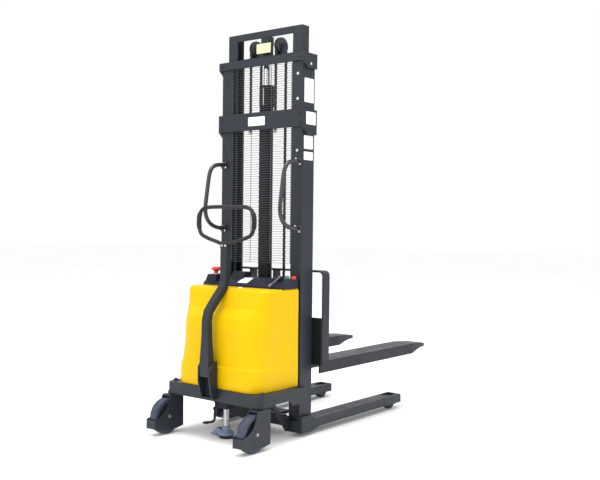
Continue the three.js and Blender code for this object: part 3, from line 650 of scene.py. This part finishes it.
def cover_ring(z):
    """One level of the cover, from the middle of the rear round the right side to the front, mirrored."""
    half, depth, radius = cover_plan(z)
    right = [((half - radius) * k / REAR_STEPS, -depth) for k in range(REAR_STEPS)]
    for k in range(CORNER_STEPS + 1):
        a = math.radians(90 * k / CORNER_STEPS)
        right.append((half - radius + radius * math.sin(a), -depth + radius - radius * math.cos(a)))
    start = -depth + radius
    for k in range(1, SIDE_STEPS + 1):
        right.append((half, start + (COVER_FRONT - start) * k / SIDE_STEPS))
    right.append((half - COVER_RETURN, COVER_FRONT))
    # The side is stepped in above the styling line. The step widens to a slope towards the front,
    # ends short of the front edge, and fades out with height.
    eased = []
    for x, y in right:
        slant = 1 + 2.2 * smoothstep(-150, -60, y)
        above = smoothstep(0, 10 * slant, z - crease_height(y))
        fade = 1 - smoothstep(470, 590, z)
        front = 1 - smoothstep(-64, -44, y)
        inset = CREASE_DEPTH * above * fade * front
        length = math.hypot(x, y + 60)
        eased.append((x - inset * x / length, y - inset * (y + 60) / length))
    left = [(-x, y) for x, y in eased[:0:-1]]
    return [place(x, y, z) for x, y in left + eased]


def cover():
    """The moulded cover: a thin shell with a ledge, a swept styling line and a closed top."""
    low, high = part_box("cover")
    bottom, top = low.z / MM, high.z / MM
    rings = [cover_ring(bottom + 0.2 + (top - bottom - 0.4) * k / COVER_ROWS) for k in range(COVER_ROWS + 1)]
    bm = bmesh.new()
    grid = [[bm.verts.new(p) for p in ring] for ring in rings]
    for lower, upper in zip(grid, grid[1:]):
        for i in range(len(lower) - 1):
            bm.faces.new((lower[i], lower[i + 1], upper[i + 1], upper[i]))
    bm.faces.new(grid[-1])
    piece = show("cover_shell", bm, YELLOW, "chassis", sharp=60)
    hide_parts("cover")
    wall = piece.modifiers.new("wall", "SOLIDIFY")
    wall.thickness = COVER_WALL * MM
    wall.offset = -1


def console_details():
    """The console's blank sticker and screen, the cover latch, the buttons and the lift lever."""
    crest = place(0, -30, 796)
    lip = place(0, -116, 757)
    centre = lip.lerp(crest, 0.6) + Vector((-8 * MM, 0, 0.2 * MM))
    plate("console_sticker", "chassis", centre, RIGHT, crest - lip, 66, 58, PAPER, 0.7, 5)
    screen_up = place(0, -36, 822) - place(0, -62, 778)
    screen = place(-77, -47.5, 803)
    plate("display_window", "chassis", screen, RIGHT, screen_up, 64, 32, DARK_PAINT_AND_SHADE, 0.8)
    bm = bmesh.new()
    latch = place(60, -180, 749.6)
    add_turned(bm, latch, UP, [(0, 0), (11, 0), (11, 3), (9, 5), (6, 6), (0, 6.4)], 32)
    show("cover_latch", bm, PAPER, "chassis", sharp=28)
    for name, look in (("green", GREEN), ("red", RED)):
        node = f"{name}_button"
        button = middle_of(node)
        base = Vector((button.x, button.y, crest.z))
        profile = [(0, -4), (12.3, -4), (12.3, 10.5), (11.6, 13), (9.8, 14.4), (6, 14.9), (0, 15)]
        turned_piece(f"{node}_cap", node, profile, look, 40, base, UP)
    stop = place(-225, -55, 804)
    turned_piece("emergency_stop_mushroom", "emergency_stop", [
        (0, -5), (10.8, -5), (10.8, 11), (12, 15), (17, 19), (23, 21.5), (25.6, 25), (25.8, 29),
        (24, 33), (19, 36.6), (10, 38.6), (0, 39),
    ], RED, 48, stop, UP)
    bm = bmesh.new()
    add_turned(bm, stop, UP, [(12.2, 0), (20, 0), (20, 2), (18, 4), (12.2, 4)], 40)
    show("emergency_stop_collar", bm, ZINC, "chassis", sharp=28)
    pivot = place(207, -48, 805)
    tip = pivot + Vector((0, -84 * MM, -41 * MM))
    bm = bmesh.new()
    points = [pivot.lerp(tip, t) for t in (0, 0.68, 0.7, 0.74, 0.8, 0.94, 0.985, 1)]
    add_tube(bm, points, [3.8, 3.4, 4.5, 5.8, 6.3, 6.4, 5.4, 3], sides=20)
    hub_ends = [pivot + RIGHT * s * 8 * MM for s in (-1, 1)]
    add_tube(bm, hub_ends, [7, 7], sides=24)
    piece = show("lift_lever_turned", bm, LEVER, "lift_lever", sharp=30)
    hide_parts("lift_lever")


# ---------------------------------------------------------------- handles


def grip_radius(z, low, high, thin, thick):
    """A tube that thickens into a ribbed grip between two heights."""
    inside = smoothstep(low - 4, low + 4, z) * (1 - smoothstep(high - 4, high + 4, z))
    rib = 0.7 * math.sin(z * 1.1) * inside
    return thin + (thick - thin) * inside + rib


def tiller_loop():
    """The closed loop with its two ribbed grips, and the block that clamps it to the arm."""
    right = [
        (0, 967), (70, 982), (130, 999), (168, 1016), (183, 1044), (187, 1080), (181, 1118),
        (158, 1144), (110, 1153), (0, 1154),
    ]
    left = [(-x, z) for x, z in right[-2:0:-1]]
    path = smooth_path([place(x, -224, z) for x, z in right + left], 14, closed=True)
    radii = [grip_radius(p.z / MM, 1046, 1120, 9.6, 12.6) for p in path]
    bm = bmesh.new()
    add_tube(bm, path, radii, sides=20, closed=True)
    add_box(bm, place(-23, -240, 946), place(23, -208, 976))
    piece = show("tiller_loop_grips", bm, GRIP, "tiller", sharp=40)
    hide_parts("tiller_loop")
    pads = [place(x, -240.4, 961) for x in (-12, 12)]
    screws("tiller_head_screws", "tiller", REARWARD, 4, pads)


def grab_handles():
    """A bent tube with two foot plates on each column."""
    upper_foot, lower_foot = 1387, 1048
    route = (
        (34, upper_foot), (8, upper_foot), (-28, 1383), (-58, 1370), (-78, 1340), (-88, 1300),
        (-96, 1250), (-104, 1200), (-109, 1160), (-106, 1118), (-88, 1085), (-58, 1063), (-20, 1051),
        (8, lower_foot), (34, lower_foot),
    )
    corners = ((-13, 13), (13, -13))  # where the screws stand on a foot plate
    for side, sign in SIDES:
        path = smooth_path([place(sign * 255, y - 0.6, z) for y, z in route], 8)
        bm = bmesh.new()
        add_tube(bm, path, [10.8] * len(path), sides=24)
        x = sign * 254
        for z in (upper_foot, lower_foot):
            add_box(bm, place(x - 19, 26, z - 19), place(x + 19, 33.4, z + 19))
        piece = show(f"grab_handle_{side}_tube", bm, TUBE, "chassis", sharp=40)
        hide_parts(f"grab_handle_{side}")
        heads = [place(x + dx, 26, z + dz) for z in (upper_foot, lower_foot) for dx, dz in corners]
        screws(f"grab_handle_screws_{side}", "chassis", REARWARD, 4, heads)


# ---------------------------------------------------------------- floor lock


def floor_lock():
    """A bright ram, a cast shoe with a wing on its left, and the rubber pad that grips the floor."""
    node = "floor_lock_foot"
    base = place(5, -212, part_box(node)[0].z / MM)
    bm = bmesh.new()
    add_turned(bm, base, UP, [(0, 50), (15.4, 50), (15.8, 52), (15.8, 146), (14, 149), (0, 149)], 40)
    show("floor_lock_ram", bm, STEEL, node, sharp=28)
    bm = bmesh.new()
    add_turned(bm, base, UP, [
        (0, 15), (39, 15), (40, 17), (40, 25), (38, 28), (26, 36), (21, 44), (21, 55), (19, 58), (0, 58),
    ], 40)
    wing = ((-97, 4), (-60, 10), (-18, 14), (-18, 34), (-36, 43), (-50, 46), (-58, 43), (-63, 38))
    add_ring_stack(bm, [[base + Vector((x * MM, y * MM, z * MM)) for x, z in wing] for y in (-16, 10)])
    shoe = show("floor_lock_shoe", bm, LOCK, node, sharp=28)
    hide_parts(node)
    soften(shoe, 2)
    bm = bmesh.new()
    add_turned(bm, base, UP, [
        (0, 0), (35, 0), (36, 1), (36, 4), (34.6, 5), (36, 6), (36, 9), (34.6, 10), (36, 11), (36, 14.8),
        (0, 14.8),
    ], 40)
    show("floor_lock_pad", bm, RUBBER, node, sharp=28)


# ---------------------------------------------------------------- trim


def sticker(name, x, y, z, across, width, height):
    """A blank paper sticker standing upright on a face."""
    plate(name, "chassis", place(x, y, z), across, UP, width, height, PAPER)


def trim():
    """Screw heads, blank stickers and plates, the vent pipe and the ring round the piston rod."""
    forward = -REARWARD
    beam_heads = [place(sign * 268, 22, z) for _, sign in SIDES for z in (1913, 1630, 1582)]
    screws("crossbeam_screws", "chassis", REARWARD, 6, beam_heads, PAINT)
    for side, sign in SIDES:
        screws(f"cheek_screws_{side}", "chassis", RIGHT * sign, 5, [place(sign * CHEEK_FACE, 82, 1880)])
        column_heads = [place(sign * 243, COLUMN_REAR, z) for z in (1830, 1704, 1444)]
        # Zinc on the right column, frame paint on the left: the left screws' dark colour is painted shade.
        screws(f"column_screws_{side}", "chassis", REARWARD, 5, column_heads, ZINC if sign > 0 else PAINT)
    bolts = [place(x, -325.3, z) for x in (-20, 20) for z in (368, 384)]
    screws("bracket_screws", "chassis", REARWARD, 6, bolts)

    sticker("beam_sticker", -20, 21.9, 1606, RIGHT, 114, 46)
    sticker("column_sticker_upper", OUTER_FACE, 86, 1748, forward, 76, 122)
    sticker("column_sticker_high", OUTER_FACE, 85, 1486, forward, 74, 68)
    sticker("column_sticker_low", OUTER_FACE, 85, 1417, forward, 74, 42)
    sticker("cheek_sticker", CHEEK_FACE, 84, 1606, forward, 78, 64)
    plate("pulley_plate", "inner_mast", place(0, 54, 1987), RIGHT, UP, 94, 50, CREAM, 5, 3)

    vent = smooth_path([place(0, 36, z) for z in (1690, 1740, 1776)] + [place(0, 40, 1788)], 6)
    bm = bmesh.new()
    add_tube(bm, [p + Vector((8 * MM, 8 * MM, 0)) for p in vent], [3.2] * len(vent), sides=12)
    show("vent_pipe", bm, ZINC, "chassis")
    bm = bmesh.new()
    gland = place(0, 81, 1795)
    add_turned(bm, gland, UP, [(18.9, -2), (30, -2), (30, 0.4), (29.7, 0.7), (18.9, 0.7)], 40)
    show("rod_gland", bm, STEEL, "chassis", sharp=28)


# ---------------------------------------------------------------- stage, light and camera


def stage():
    """The pale floor, just under the wheels."""
    bm = bmesh.new()
    bmesh.ops.create_grid(bm, x_segments=1, y_segments=1, size=30)
    mesh = bpy.data.meshes.new("floor")
    bm.to_mesh(mesh)
    bm.free()
    floor = bpy.data.objects.new("floor", mesh)
    floor.location.z = -0.5 * MM
    bpy.context.scene.collection.objects.link(floor)
    pale = finish_of("pale_floor", (252, 252, 252), 0.8, tint=0.01, patch=0.5, grain=60, relief=0.5)
    mesh.materials.append(pale)


def area_light(name, position, target, size, power):
    lamp = bpy.data.lights.new(name, "AREA")
    lamp.size = size
    lamp.energy = power
    holder = bpy.data.objects.new(name, lamp)
    holder.location = position
    holder.rotation_euler = (Vector(target) - Vector(position)).to_track_quat("-Z", "Y").to_euler()
    bpy.context.scene.collection.objects.link(holder)


def lights():
    """A white studio with soft lights behind, to the right and overhead."""
    world = bpy.data.worlds.new("studio")
    bpy.context.scene.world = world
    world.use_nodes = True
    background = world.node_tree.nodes["Background"]
    background.inputs["Color"].default_value = (1, 1, 1, 1)
    background.inputs["Strength"].default_value = 1.0
    aim = (0, -0.3, 0.8)
    area_light("key", (-1.2, -4.8, 3.4), aim, 3.2, 70)
    area_light("fill", (4.6, -1.6, 2.6), aim, 3.5, 40)
    area_light("top", (0.4, -0.8, 5.4), aim, 3.4, 260)


def camera():
    """The photograph's viewpoint: behind the operator's right shoulder, a little over a metre up."""
    azimuth, tilt, roll = (math.radians(a) for a in (38.1, -0.94, 0.63))
    level = Vector((math.cos(azimuth), math.sin(azimuth), 0))
    reach = math.cos(tilt)
    forward = Vector((-math.sin(azimuth) * reach, math.cos(azimuth) * reach, math.sin(tilt)))
    upright = level.cross(forward)
    right = level * math.cos(roll) + upright * math.sin(roll)
    up = upright * math.cos(roll) - level * math.sin(roll)
    data = bpy.data.cameras.new("view")
    data.sensor_width = 36
    data.lens = 50.68
    view = bpy.data.objects.new("view", data)
    turn = Matrix((right, up, -forward)).transposed().to_4x4()
    view.matrix_world = Matrix.Translation(place(2886, -3305, 1062)) @ turn
    bpy.context.scene.collection.objects.link(view)
    bpy.context.scene.camera = view


bpy.context.scene.view_settings.view_transform = "Standard"
camera()
stage()
lights()
steelwork()
welds()
guard_wires()
chains()
wheels()
cover()
console_details()
tiller_loop()
grab_handles()
floor_lock()
trim()
